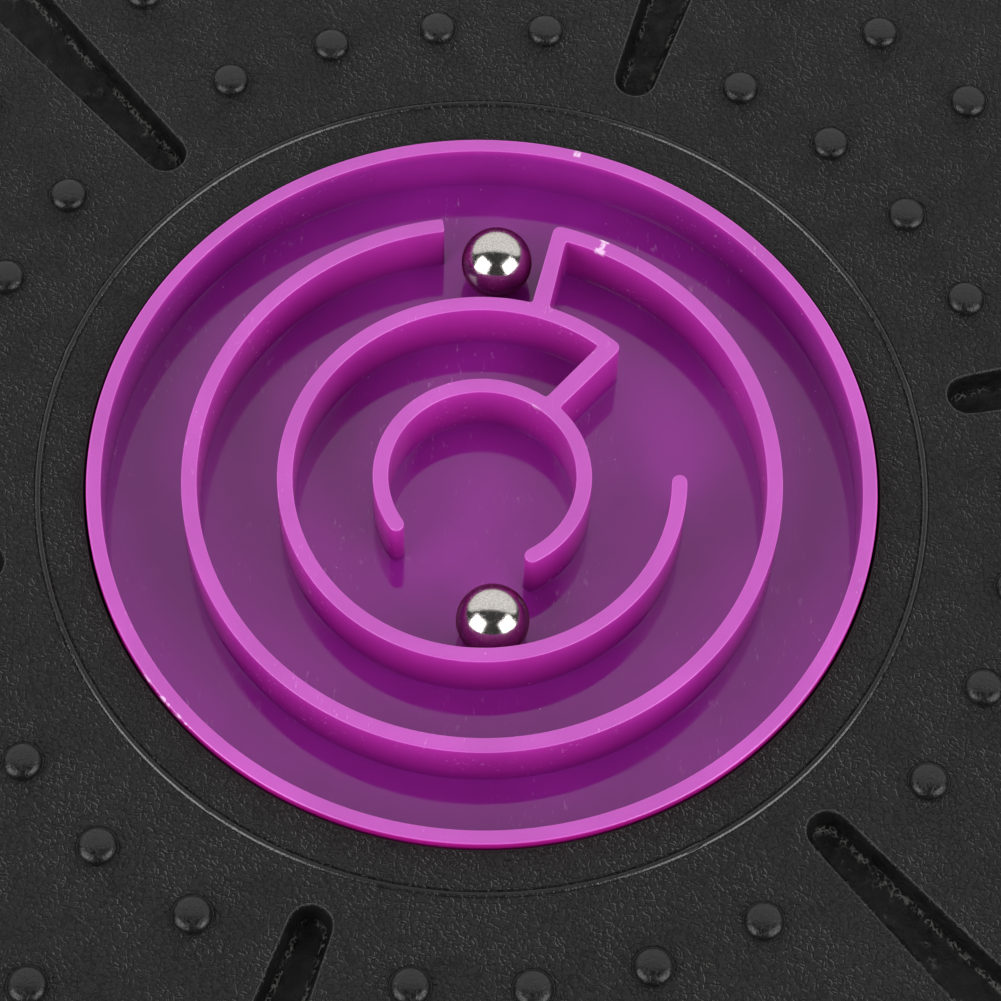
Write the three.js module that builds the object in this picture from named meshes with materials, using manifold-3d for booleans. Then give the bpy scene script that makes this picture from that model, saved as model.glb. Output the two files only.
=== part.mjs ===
// Balance board with a ball maze in the middle of its deck.
// Millimetres, +Z up, origin on the floor under the centre of the board.
// The deck carries the maze tray in a round recess. The board rocks on a hollow dome screwed under the deck.
import * as THREE from "three";
import { mergeVertices } from "three/addons/utils/BufferGeometryUtils.js";
import Module from "manifold-3d";

const wasm = await Module();
wasm.setup();

// ---------- driving dimensions, mm and degrees ----------

const GAP = 0.3; // clearance between pieces that touch on the real board

// maze tray: every wall top lies in one plane with the rim
const RIM_TOP = 70; // height of the rim and wall tops above the floor
const RIM_R = 65; // outer radius of the tray
const RIM_T = 2.42;
const WALL_T = 2.55;
const WALL_PITCH = 15.7; // radial step from one ring wall to the next
const WALL_R = [48.15, 48.15 - WALL_PITCH, 48.15 - 2 * WALL_PITCH]; // centrelines, outer to inner
const WALL_H = 11; // above the tray floor
const TRAY_FLOOR_T = 2;
const TRAY_FLOOR = RIM_TOP - WALL_H;
const TRAY_BOTTOM = TRAY_FLOOR - TRAY_FLOOR_T;

// A rounded wall end stops this many degrees short of its tip.
const roundEnd = (r) => THREE.MathUtils.radToDeg(WALL_T / 2 / r);

// where each ring wall starts and ends, counter-clockwise from +X
const OUTER_WALL = { from: 99.4, to: 75.6 + 360 };
const MIDDLE_WALL = { from: 49.6, to: 362 - roundEnd(WALL_R[1]) };
const INNER_WALL = { from: -64 + roundEnd(WALL_R[2]), to: 219 - roundEnd(WALL_R[2]) };
const OUTER_SPOKE = { rOut: WALL_R[0], aOut: 75.6, rIn: WALL_R[1], aIn: 74.9 };
const INNER_SPOKE = { rOut: WALL_R[1], aOut: 49.6, rIn: WALL_R[2], aIn: 51.4 };

// steel balls
const BALL_D = 12;
const BALL_LIFT = 0.05; // clearance over the tray floor
const OUTER_BALL = { r: 43.35, a: 88.2 }; // in the gap of the outer wall
const INNER_BALL = { r: 24.15, a: 275.6 }; // in the corridor round the goal pocket

// deck
const DECK_R = 200;
const DECK_TOP = RIM_TOP - 1; // the tray rim stands 1 mm proud
const SKIN_T = 4;
const SKIRT_BOTTOM = 47;
const SKIRT_T = 4;
const EDGE_ROUND = 5;
const SKIRT_CHAMFER = 1.5;
const RECESS_R = RIM_R + 0.8;
const CUP_WALL_T = 3;
const CUP_FLOOR_T = 3;
const CUP_FLOOR = 50.7; // top of the recess floor
const WITNESS_R = 72.9; // thin raised line round the recess
const WITNESS_W = 0.9;
const WITNESS_H = 0.3;

// grip nubs: every 60 degree sector holds one nub more in each ring outwards
const NUB_R = 3.15;
const NUB_TOP_R = 2.1;
const NUB_H = 1.8;
const NUB_SIDES = 6;
const NUB_RINGS = 4;
const NUB_FIRST_RING_R = 88.7;
const NUB_RING_STEP = 23.7;
const NUB_FIRST_COUNT = 4;
const NUB_TO_GROOVE = 17.9; // the rows on both sides of a groove run parallel to its centreline
const SECTORS = 6;
const SLOT_AZIMUTH = 12.7; // first radial groove
const NUB_AZIMUTH = SLOT_AZIMUTH + 30;

// radial grooves, slightly wider outwards
const SLOT_INNER_R = 79.5;
const SLOT_OUTER_R = 178;
const SLOT_W_INNER = 7;
const SLOT_W_OUTER = 13.5;
const SLOT_DEPTH = 5;
const CHANNEL_WALL = 2.5; // plastic round each groove under the skin

// ribs under the deck
const RIB_T = 2.5;
const RIB_BOTTOM = 50;
const SEAT_R = 103; // ring rib the dome seats on
const SEAT_T = 3;

// dome
const DOME_SEAT_Z = SKIRT_BOTTOM - GAP; // top of the flange
const FLANGE_T = 4;
const FLANGE_R = 117;
const DOME_R = 104; // where the dome meets its flange
const DOME_LOW = -1.9; // lowest point of the full sphere, cut away by the pad seat
const DOME_T = 3.5;
const PAD_R = 32;
const PAD_H = 4;
const PAD_ROUND = 0.8;

// screws
const DOME_SCREW = { r: 110, count: 6, a: NUB_AZIMUTH, head: 4, headH: 2.4, shank: 1.6, length: 14 };
const TRAY_SCREW = { r: 55.5, count: 4, a: 60, head: 2.8, headH: 2, shank: 1.15, length: 8.4 };
const SCREW_TIP = 1.5;
const HEAD_TOP_SHARE = 0.6; // flat top of a screw head, as a share of its radius
const HEAD_SIDE_SHARE = 0.45; // straight side of a screw head, as a share of its height
const BOSS_R = 4.2; // bosses under the deck
const TRAY_BOSS_R = 3.5;
const DOME_PILOT_TOP = 60; // blind end of the pilot holes in the deck bosses
const TRAY_PILOT_STOP = 0.5; // plastic left between a tray pilot hole and the tray's underside
const FLANGE_HOLE_R = 2.3;
const CUP_HOLE_R = 1.8;

// facets
const ARC_STEP = 6; // degrees per facet of the deck and the tray
const DOME_SIDES = 48;
const POST_SIDES = 12; // bosses, screws, wall ends and groove ends
const HOLE_SIDES = 10;
const BALL_SIDES = 20;
const BALL_RINGS = 14;
const DOME_OUTSIDE_R = [37, 54, 71, 88]; // rings of the dome's outer face, the first round the pad
const DOME_INSIDE_R = [96, 84, 68, 50];
const OVERLAP = 1; // how far joined shapes run into each other

// ---------- materials ----------

const look = (color, roughness, metalness = 0) =>
  new THREE.MeshStandardMaterial({ color, roughness, metalness });
const BLACK_PP = look(0x2a2a2a, 0.5);
const PURPLE_PP = look(0x8e4092, 0.18);
const STEEL = look(0xc5bcb7, 0.12, 1);
const ZINC = look(0xb8bcc0, 0.35, 1);
const RUBBER = look(0x1c1c1d, 0.85);

// ---------- helpers ----------

const rad = THREE.MathUtils.degToRad;
const polar = (r, a) => new THREE.Vector2(r * Math.cos(rad(a)), r * Math.sin(rad(a)));

// A closed geometry as a solid that can be joined and cut.
function solid(geometry) {
  const bare = geometry.clone();
  bare.deleteAttribute("normal");
  bare.deleteAttribute("uv");
  const merged = mergeVertices(bare, 1e-4);
  return new wasm.Manifold(
    new wasm.Mesh({
      numProp: 3,
      vertProperties: new Float32Array(merged.attributes.position.array),
      triVerts: new Uint32Array(merged.index.array),
    }),
  );
}

// A solid back as geometry.
function geometryOf(body) {
  const mesh = body.getMesh();
  const geometry = new THREE.BufferGeometry();
  geometry.setAttribute("position", new THREE.BufferAttribute(mesh.vertProperties, 3));
  geometry.setIndex(new THREE.BufferAttribute(mesh.triVerts, 1));
  geometry.computeVertexNormals();
  return geometry;
}

const join = (bodies) => bodies.reduce((all, body) => all.add(body));

// A profile of [radius, height] pairs turned round Z.
function turned(profile, sides = 360 / ARC_STEP) {
  const points = profile.map(([r, z]) => new THREE.Vector2(r, z));
  return solid(new THREE.LatheGeometry(points, sides).rotateX(Math.PI / 2));
}

// An outline in the XY plane extruded from z0 to z1.
function prism(points, z0, z1) {
  const shape = new THREE.Shape(points);
  const geometry = new THREE.ExtrudeGeometry(shape, { depth: z1 - z0, bevelEnabled: false });
  return solid(geometry.translate(0, 0, z0));
}

// A round column, narrower at the top if a second radius is given.
function column(centre, r, z0, z1, sides = POST_SIDES, rTop = r) {
  const geometry = new THREE.CylinderGeometry(rTop, r, z1 - z0, sides).rotateX(Math.PI / 2);
  return solid(geometry.translate(centre.x, centre.y, (z0 + z1) / 2));
}

// Points along an arc, from angle a0 to a1.
function arc(r, a0, a1, step = ARC_STEP) {
  const steps = Math.max(1, Math.ceil(Math.abs(a1 - a0) / step));
  return Array.from({ length: steps + 1 }, (_, i) => polar(r, a0 + ((a1 - a0) * i) / steps));
}

// A curved wall of thickness t along an arc.
function curvedWall(r, { from, to }, t, z0, z1) {
  const outline = [...arc(r + t / 2, from, to), ...arc(r - t / 2, to, from)];
  return prism(outline, z0, z1);
}

// A straight wall of thickness t between two points, which may differ in half width.
function straightWall(a, b, halfA, halfB, z0, z1) {
  const along = b.clone().sub(a).normalize();
  const side = new THREE.Vector2(-along.y, along.x);
  const corner = (p, k) => p.clone().addScaledVector(side, k);
  return prism([corner(a, -halfA), corner(b, -halfB), corner(b, halfB), corner(a, halfA)], z0, z1);
}

const ringOf = (count, start, make) =>
  Array.from({ length: count }, (_, i) => make(start + (360 / count) * i, i));

// ---------- maze tray ----------

function makeTray() {
  const z0 = TRAY_FLOOR - OVERLAP;
  const pilotTop = TRAY_BOTTOM - TRAY_PILOT_STOP;
  const shell = turned([
    [0, TRAY_BOTTOM],
    [RIM_R, TRAY_BOTTOM],
    [RIM_R, RIM_TOP],
    [RIM_R - RIM_T, RIM_TOP],
    [RIM_R - RIM_T, TRAY_FLOOR],
    [0, TRAY_FLOOR],
  ]);
  const ends = [
    polar(WALL_R[0], OUTER_SPOKE.aOut),
    polar(WALL_R[1], MIDDLE_WALL.from),
    polar(WALL_R[1], MIDDLE_WALL.to),
    polar(WALL_R[2], INNER_WALL.from),
    polar(WALL_R[2], INNER_WALL.to),
  ];
  const spokes = [OUTER_SPOKE, INNER_SPOKE].map((s) =>
    straightWall(polar(s.rOut, s.aOut), polar(s.rIn, s.aIn), WALL_T / 2, WALL_T / 2, z0, RIM_TOP),
  );
  const bosses = ringOf(TRAY_SCREW.count, TRAY_SCREW.a, (a) =>
    column(polar(TRAY_SCREW.r, a), TRAY_BOSS_R, CUP_FLOOR + GAP, TRAY_BOTTOM + OVERLAP),
  );
  const pilots = ringOf(TRAY_SCREW.count, TRAY_SCREW.a, (a) =>
    column(polar(TRAY_SCREW.r, a), TRAY_SCREW.shank + GAP, CUP_FLOOR, pilotTop, HOLE_SIDES),
  );
  return join([
    shell,
    curvedWall(WALL_R[0], OUTER_WALL, WALL_T, z0, RIM_TOP),
    curvedWall(WALL_R[1], MIDDLE_WALL, WALL_T, z0, RIM_TOP),
    curvedWall(WALL_R[2], INNER_WALL, WALL_T, z0, RIM_TOP),
    ...spokes,
    ...ends.map((p) => column(p, WALL_T / 2, z0, RIM_TOP)),
    ...bosses,
  ]).subtract(join(pilots));
}

// ---------- deck ----------

function deckShell() {
  const edge = [0, 30, 60, 90].map((a) => [
    DECK_R - EDGE_ROUND + EDGE_ROUND * Math.cos(rad(a)),
    DECK_TOP - EDGE_ROUND + EDGE_ROUND * Math.sin(rad(a)),
  ]);
  const under = DECK_TOP - SKIN_T;
  const cup = RECESS_R + CUP_WALL_T;
  return turned([
    [0, CUP_FLOOR - CUP_FLOOR_T],
    [cup, CUP_FLOOR - CUP_FLOOR_T],
    [cup, under],
    [DECK_R - SKIRT_T, under],
    [DECK_R - SKIRT_T, SKIRT_BOTTOM],
    [DECK_R - SKIRT_CHAMFER, SKIRT_BOTTOM],
    [DECK_R, SKIRT_BOTTOM + SKIRT_CHAMFER],
    ...edge,
    [WITNESS_R + WITNESS_W / 2, DECK_TOP],
    [WITNESS_R + WITNESS_W / 2, DECK_TOP + WITNESS_H],
    [WITNESS_R - WITNESS_W / 2, DECK_TOP + WITNESS_H],
    [WITNESS_R - WITNESS_W / 2, DECK_TOP],
    [RECESS_R, DECK_TOP],
    [RECESS_R, CUP_FLOOR],
    [0, CUP_FLOOR],
  ]);
}

// A radial groove as a solid to cut away, or with margin the channel of plastic round it.
function groove(a, margin, z0, z1) {
  const rIn = SLOT_INNER_R + SLOT_W_INNER / 2;
  const rOut = SLOT_OUTER_R - SLOT_W_OUTER / 2;
  const halfIn = SLOT_W_INNER / 2 + margin;
  const halfOut = SLOT_W_OUTER / 2 + margin;
  return join([
    straightWall(polar(rIn, a), polar(rOut, a), halfIn, halfOut, z0, z1),
    column(polar(rIn, a), halfIn, z0, z1),
    column(polar(rOut, a), halfOut, z0, z1),
  ]);
}

function nubs() {
  const made = [];
  for (let ring = 0; ring < NUB_RINGS; ring++) {
    const r = NUB_FIRST_RING_R + NUB_RING_STEP * ring;
    const count = NUB_FIRST_COUNT + ring;
    const halfSpan = 180 / SECTORS - THREE.MathUtils.radToDeg(Math.asin(NUB_TO_GROOVE / r));
    const step = (2 * halfSpan) / (count - 1);
    for (let sector = 0; sector < SECTORS; sector++) {
      for (let i = 0; i < count; i++) {
        const a = NUB_AZIMUTH + (360 / SECTORS) * sector + (i - (count - 1) / 2) * step;
        made.push(
          column(polar(r, a), NUB_R, DECK_TOP - OVERLAP, DECK_TOP + NUB_H, NUB_SIDES, NUB_TOP_R),
        );
      }
    }
  }
  return made;
}

function makeDeck() {
  const under = DECK_TOP - SKIN_T;
  const slotFloor = DECK_TOP - SLOT_DEPTH;
  const inner = RECESS_R + CUP_WALL_T / 2;
  const outer = DECK_R - SKIRT_T / 2;
  const pilotR = DOME_SCREW.shank + GAP;
  const cupBottom = CUP_FLOOR - CUP_FLOOR_T;
  const channels = ringOf(SECTORS, SLOT_AZIMUTH, (a) =>
    groove(a, CHANNEL_WALL, slotFloor - CHANNEL_WALL, under + OVERLAP),
  );
  const ribs = ringOf(SECTORS, SLOT_AZIMUTH, (a) =>
    straightWall(polar(inner, a), polar(outer, a), RIB_T / 2, RIB_T / 2, RIB_BOTTOM, slotFloor - OVERLAP),
  );
  const gussets = ringOf(DOME_SCREW.count, DOME_SCREW.a, (a) =>
    straightWall(polar(inner, a), polar(DOME_SCREW.r, a), RIB_T / 2, RIB_T / 2, RIB_BOTTOM, under + OVERLAP),
  );
  const seat = turned([
    [SEAT_R - SEAT_T, SKIRT_BOTTOM],
    [SEAT_R, SKIRT_BOTTOM],
    [SEAT_R, under + OVERLAP],
    [SEAT_R - SEAT_T, under + OVERLAP],
    [SEAT_R - SEAT_T, SKIRT_BOTTOM],
  ]);
  const bosses = ringOf(DOME_SCREW.count, DOME_SCREW.a, (a) =>
    column(polar(DOME_SCREW.r, a), BOSS_R, SKIRT_BOTTOM, under + OVERLAP),
  );
  const cuts = [
    ...ringOf(SECTORS, SLOT_AZIMUTH, (a) => groove(a, 0, slotFloor, DECK_TOP + OVERLAP)),
    ...ringOf(DOME_SCREW.count, DOME_SCREW.a, (a) =>
      column(polar(DOME_SCREW.r, a), pilotR, SKIRT_BOTTOM - OVERLAP, DOME_PILOT_TOP, HOLE_SIDES),
    ),
    ...ringOf(TRAY_SCREW.count, TRAY_SCREW.a, (a) =>
      column(polar(TRAY_SCREW.r, a), CUP_HOLE_R, cupBottom - OVERLAP, CUP_FLOOR + OVERLAP, HOLE_SIDES),
    ),
  ];
  return join([deckShell(), seat, ...channels, ...ribs, ...gussets, ...bosses])
    .subtract(join(cuts))
    .add(join(nubs()));
}

// ---------- dome and pad ----------

function makeDome() {
  const flangeBottom = DOME_SEAT_Z - FLANGE_T;
  const rise = flangeBottom - DOME_LOW;
  const sphereR = (DOME_R * DOME_R + rise * rise) / (2 * rise);
  const centreZ = DOME_LOW + sphereR;
  const sphereZ = (r, thickness) =>
    centreZ - Math.sqrt((sphereR - thickness) ** 2 - r * r);
  const rimZ = sphereZ(DOME_OUTSIDE_R[0], 0);
  const padCeiling = PAD_H + GAP;
  const insideFloor = padCeiling + DOME_T;
  const flatR = Math.sqrt((sphereR - DOME_T) ** 2 - (centreZ - insideFloor) ** 2);
  const profile = [
    [0, padCeiling],
    [PAD_R + GAP, padCeiling],
    [PAD_R + GAP, rimZ],
    ...DOME_OUTSIDE_R.map((r) => [r, sphereZ(r, 0)]),
    [DOME_R, flangeBottom],
    [FLANGE_R, flangeBottom],
    [FLANGE_R, DOME_SEAT_Z],
    [DOME_INSIDE_R[0], DOME_SEAT_Z],
    ...DOME_INSIDE_R.map((r) => [r, sphereZ(r, DOME_T)]),
    [flatR, insideFloor],
    [0, insideFloor],
  ];
  const holes = ringOf(DOME_SCREW.count, DOME_SCREW.a, (a) =>
    column(polar(DOME_SCREW.r, a), FLANGE_HOLE_R, flangeBottom - OVERLAP, DOME_SEAT_Z + OVERLAP),
  );
  return turned(profile, DOME_SIDES).subtract(join(holes));
}

function makePad() {
  const profile = [
    [0, 0],
    [PAD_R - PAD_ROUND, 0],
    [PAD_R, PAD_ROUND],
    [PAD_R, PAD_H],
    [0, PAD_H],
  ];
  return turned(profile, DOME_SIDES);
}

// ---------- screws and balls ----------

// A pan-head screw pointing up: its head's bearing face lies at z.
function makeScrew({ head, headH, shank, length }, centre, z) {
  const profile = [
    [0, z - headH],
    [head * HEAD_TOP_SHARE, z - headH],
    [head, z - headH * HEAD_SIDE_SHARE],
    [head, z],
    [shank, z],
    [shank, z + length - SCREW_TIP],
    [0, z + length],
  ];
  const points = profile.map(([r, h]) => new THREE.Vector2(r, h));
  const geometry = new THREE.LatheGeometry(points, POST_SIDES).rotateX(Math.PI / 2);
  return solid(geometry.translate(centre.x, centre.y, 0));
}

function makeBall({ r, a }) {
  const centre = polar(r, a);
  const geometry = new THREE.SphereGeometry(BALL_D / 2, BALL_SIDES, BALL_RINGS);
  return solid(geometry.translate(centre.x, centre.y, TRAY_FLOOR + BALL_D / 2 + BALL_LIFT));
}

// ---------- the object ----------

const board = new THREE.Group();

function add(name, body, material) {
  const mesh = new THREE.Mesh(geometryOf(body), material);
  mesh.name = name;
  board.add(mesh);
}

add("deck", makeDeck(), BLACK_PP);
add("base_dome", makeDome(), BLACK_PP);
add("foot_pad", makePad(), RUBBER);
add("maze_tray", makeTray(), PURPLE_PP);
add("ball_outer", makeBall(OUTER_BALL), STEEL);
add("ball_inner", makeBall(INNER_BALL), STEEL);
ringOf(DOME_SCREW.count, DOME_SCREW.a, (a, i) =>
  add(
    `dome_screw_${i + 1}`,
    makeScrew(DOME_SCREW, polar(DOME_SCREW.r, a), DOME_SEAT_Z - FLANGE_T - GAP),
    ZINC,
  ),
);
ringOf(TRAY_SCREW.count, TRAY_SCREW.a, (a, i) =>
  add(
    `tray_screw_${i + 1}`,
    makeScrew(TRAY_SCREW, polar(TRAY_SCREW.r, a), CUP_FLOOR - CUP_FLOOR_T - GAP),
    ZINC,
  ),
);

export default board;
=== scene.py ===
"""A balance board with a ball maze in the middle of its deck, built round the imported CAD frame.

Everything is in metres in the frame's own axes: +Z up, the maze's centre on the Z axis.
Angles are counter-clockwise from +X.
"""
import math
import random

import bpy
import numpy as np
from mathutils import Matrix, Vector, noise
from mathutils.geometry import delaunay_2d_cdt


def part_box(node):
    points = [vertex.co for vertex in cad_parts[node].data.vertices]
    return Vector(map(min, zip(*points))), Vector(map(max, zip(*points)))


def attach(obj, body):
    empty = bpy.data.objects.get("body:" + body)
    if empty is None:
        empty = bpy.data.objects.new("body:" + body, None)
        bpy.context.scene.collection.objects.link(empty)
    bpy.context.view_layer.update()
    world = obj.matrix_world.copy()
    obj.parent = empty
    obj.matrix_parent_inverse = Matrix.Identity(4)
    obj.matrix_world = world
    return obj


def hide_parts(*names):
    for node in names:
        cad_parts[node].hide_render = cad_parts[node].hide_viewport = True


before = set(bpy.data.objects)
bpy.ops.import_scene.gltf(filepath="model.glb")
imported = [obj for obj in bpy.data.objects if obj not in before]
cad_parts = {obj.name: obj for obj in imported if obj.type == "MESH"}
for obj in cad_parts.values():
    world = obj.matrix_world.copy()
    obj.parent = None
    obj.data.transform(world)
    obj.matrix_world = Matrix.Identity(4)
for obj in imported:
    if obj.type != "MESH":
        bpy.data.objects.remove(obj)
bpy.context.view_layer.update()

# ---------- sizes, from the frame or as in the CAD ----------

MM = 0.001
deck_low, deck_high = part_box("deck")
tray_low, tray_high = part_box("maze_tray")
dome_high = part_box("base_dome")[1]
pad_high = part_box("foot_pad")[1]

RIM_TOP = tray_high.z
RIM_R = tray_high.x
RIM_T = 2.42 * MM
RIM_ROUND = 0.42 * MM
WALL_T = 2.55 * MM
WALL_R = [48.15 * MM, 32.45 * MM, 16.75 * MM]  # the outer, middle and inner ring wall
WALL_H = 11 * MM
WALL_ROUND = 0.22 * MM
WALL_DRAFT = 0.1 * MM
OUTER_WALL_ENDS = (99.4, 435.6)  # the ring walls' azimuths, from one end to the other
MIDDLE_WALL_END = 362
INNER_WALL_ENDS = (-64, 219)
SPOKE_1 = (75.6, 74.9)  # a spoke's azimuths at its outer and its inner wall
SPOKE_2 = (49.6, 51.4)
TRAY_FLOOR = RIM_TOP - WALL_H
TRAY_BOTTOM = TRAY_FLOOR - 2 * MM
TRAY_BOSS_R = 3.5 * MM
TRAY_HOLE_R = 1.45 * MM
TRAY_HOLE_DEPTH = 5.5 * MM
TRAY_SCREW_R = 55.5 * MM
TRAY_SCREW_A = 60

DECK_R = deck_high.x
DECK_TOP = RIM_TOP - 1 * MM
DECK_UNDER = DECK_TOP - 4 * MM
SKIRT_BOTTOM = 47 * MM
SKIRT_T = 4 * MM
EDGE_ROUND = 5 * MM
RECESS_R = RIM_R + 0.4 * MM
CUP_R = RIM_R + 3.8 * MM
CUP_FLOOR = 50.7 * MM
CUP_BOTTOM = deck_low.z
WITNESS_R = 72.9 * MM
WITNESS_BREAK = 298.4

SECTORS = 6
SLOT_AZIMUTH = 12.7
NUB_AZIMUTH = SLOT_AZIMUTH + 30
NUB_H = 1.55 * MM
NUB_RING_R = [(88.7 + 23.7 * ring) * MM for ring in range(4)]
NUB_TO_GROOVE = 17.9 * MM
SLOT_INNER_R = 79.1 * MM
SLOT_OUTER_R = 178 * MM
SLOT_HALF_INNER = 3.5 * MM
SLOT_HALF_OUTER = 6.75 * MM
SLOT_DEPTH = 5 * MM
CHANNEL_WALL = 2.5 * MM

RIB_T = 2.5 * MM
RIB_BOTTOM = 50 * MM
SEAT_R = 103 * MM
SEAT_T = 3 * MM
DOME_SCREW_R = 110 * MM
DOME_SCREW_A = NUB_AZIMUTH
BOSS_R = 4.2 * MM
BOSS_HOLE_R = 1.9 * MM
BOSS_HOLE_DEPTH = 13 * MM
RUN_IN = 0.5 * MM  # how far a rib or boss runs into the skin above it

FLANGE_T = 4 * MM
FLANGE_BOTTOM = dome_high.z - FLANGE_T
DOME_R = 104 * MM
DOME_LOW = -1.9 * MM  # where the round skin would end if it weren't cut flat for the pad
DOME_T = 3.5 * MM
DOME_INNER_R = 96 * MM
PAD_R = pad_high.x
PAD_H = pad_high.z
DOME_PAD_RIM = 37 * MM

RING_POINTS = 720  # points on the big circles

# ---------- camera ----------

CAMERA_PLACE = Vector((0, -0.27453, RIM_TOP + 0.53420))
CAMERA_AIM = Vector((0.00308, -0.00468, RIM_TOP))
CAMERA_ROLL = 2.28
LENS = 131.5


def looking(place, aim, roll):
    """The matrix of something at a place that looks at its aim, turned about its own axis by roll."""
    turn = (aim - place).to_track_quat("-Z", "Y").to_matrix().to_4x4()
    return Matrix.Translation(place) @ turn @ Matrix.Rotation(math.radians(roll), 4, "Z")


def make_camera():
    """A long lens above the near side, at the photograph's angle, tilted a little about its own axis."""
    camera = bpy.data.objects.new("camera", bpy.data.cameras.new("camera"))
    bpy.context.scene.collection.objects.link(camera)
    camera.matrix_world = looking(CAMERA_PLACE, CAMERA_AIM, CAMERA_ROLL)
    camera.data.lens = LENS
    camera.data.sensor_width = 36
    camera.data.clip_start = 0.01
    bpy.context.scene.camera = camera


make_camera()

# ---------- stage ----------

SCRIM_PLACE = Vector((0, 0.92, 0.85))
SCRIM_AIM = Vector((0, 0.2, 0.12))
SCRIM_SIZE = (6.4, 2.05)
SCRIM_RADIANCE = 1.1
SCRIM_ROLL = -4
BOX_DISTANCE = 1.2
BOX_RADIANCE = 4.1
BOXES = (  # name, azimuth, elevation, width, height, roll
    ("left_box", 212.8, 27.2, 0.975, 1.05, 9.1),
    ("right_box", 326.7, 27, 1.0, 1.05, -2.1),
)
ROOM_LIGHT = 0.06
ROOM_SEEN = 0.80
FLOOR_FADE = (0.7, 1.5)  # the floor fades out between these distances from the middle


def polar(r, a):
    """A point in plan at a radius and an azimuth."""
    return Vector((r * math.cos(math.radians(a)), r * math.sin(math.radians(a))))


def make_panel(name, place, aim, size, radiance, roll, shape="RECTANGLE"):
    """A soft light whose face has the given brightness."""
    light = bpy.data.lights.new(name, "AREA")
    light.shape = shape
    light.size, light.size_y = size
    area = size[0] * size[1] * (math.pi / 4 if shape == "ELLIPSE" else 1)
    light.energy = radiance * math.pi * area
    lamp = bpy.data.objects.new(name, light)
    bpy.context.scene.collection.objects.link(lamp)
    lamp.matrix_world = looking(place, aim, roll)


def make_world():
    """A dim room. What the camera sees of it past the floor is pale."""
    world = bpy.data.worlds.new("studio")
    bpy.context.scene.world = world
    world.use_nodes = True
    tree = world.node_tree
    strength = tree.nodes.new("ShaderNodeMapRange")
    strength.inputs["To Min"].default_value = ROOM_LIGHT
    strength.inputs["To Max"].default_value = ROOM_SEEN
    path = tree.nodes.new("ShaderNodeLightPath")
    tree.links.new(path.outputs["Is Camera Ray"], strength.inputs["Value"])
    background = tree.nodes["Background"]
    background.inputs["Color"].default_value = (0.95, 0.975, 1, 1)
    tree.links.new(strength.outputs["Result"], background.inputs["Strength"])


def make_lights():
    """A wide scrim behind the board and a soft box on each side in front of it."""
    make_panel("back_scrim", SCRIM_PLACE, SCRIM_AIM, SCRIM_SIZE, SCRIM_RADIANCE, SCRIM_ROLL, "ELLIPSE")
    centre = Vector((0, 0, RIM_TOP))
    for name, azimuth, elevation, width, height, roll in BOXES:
        flat = polar(BOX_DISTANCE * math.cos(math.radians(elevation)), azimuth)
        up = BOX_DISTANCE * math.sin(math.radians(elevation))
        place = centre + Vector((flat.x, flat.y, up))
        make_panel(name, place, centre, (width, height), BOX_RADIANCE, roll)


def floor_material():
    """Pale and matt, clear far from the middle and from below."""
    material = bpy.data.materials.new("pale_floor")
    material.use_nodes = True
    shader = material.node_tree.nodes["Principled BSDF"]
    shader.inputs["Base Color"].default_value = (0.72, 0.71, 0.70, 1)
    shader.inputs["Roughness"].default_value = 0.9
    tree = material.node_tree
    see_through = tree.nodes.new("ShaderNodeBsdfTransparent")
    either = tree.nodes.new("ShaderNodeMixShader")
    far = tree.nodes.new("ShaderNodeVectorMath")
    far.operation = "LENGTH"
    tree.links.new(tree.nodes.new("ShaderNodeTexCoord").outputs["Object"], far.inputs[0])
    fade = tree.nodes.new("ShaderNodeMapRange")
    fade.interpolation_type = "SMOOTHSTEP"
    fade.inputs["From Min"].default_value, fade.inputs["From Max"].default_value = FLOOR_FADE
    tree.links.new(far.outputs["Value"], fade.inputs["Value"])
    hidden = tree.nodes.new("ShaderNodeMath")
    hidden.operation = "MAXIMUM"
    tree.links.new(tree.nodes.new("ShaderNodeNewGeometry").outputs["Backfacing"], hidden.inputs[0])
    tree.links.new(fade.outputs["Result"], hidden.inputs[1])
    tree.links.new(hidden.outputs["Value"], either.inputs["Fac"])
    tree.links.new(shader.outputs["BSDF"], either.inputs[1])
    tree.links.new(see_through.outputs["BSDF"], either.inputs[2])
    tree.links.new(either.outputs["Shader"], tree.nodes["Material Output"].inputs["Surface"])
    return material


def make_floor():
    mesh = bpy.data.meshes.new("floor")
    half = FLOOR_FADE[1]
    corners = [(-half, -half, 0), (half, -half, 0), (half, half, 0), (-half, half, 0)]
    mesh.from_pydata(corners, [], [(0, 1, 2, 3)])
    mesh.materials.append(floor_material())
    floor = bpy.data.objects.new("floor", mesh)
    bpy.context.scene.collection.objects.link(floor)


make_lights()
make_floor()
make_world()
bpy.context.scene.view_settings.view_transform = "Standard"

# ---------- material helpers ----------


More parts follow.
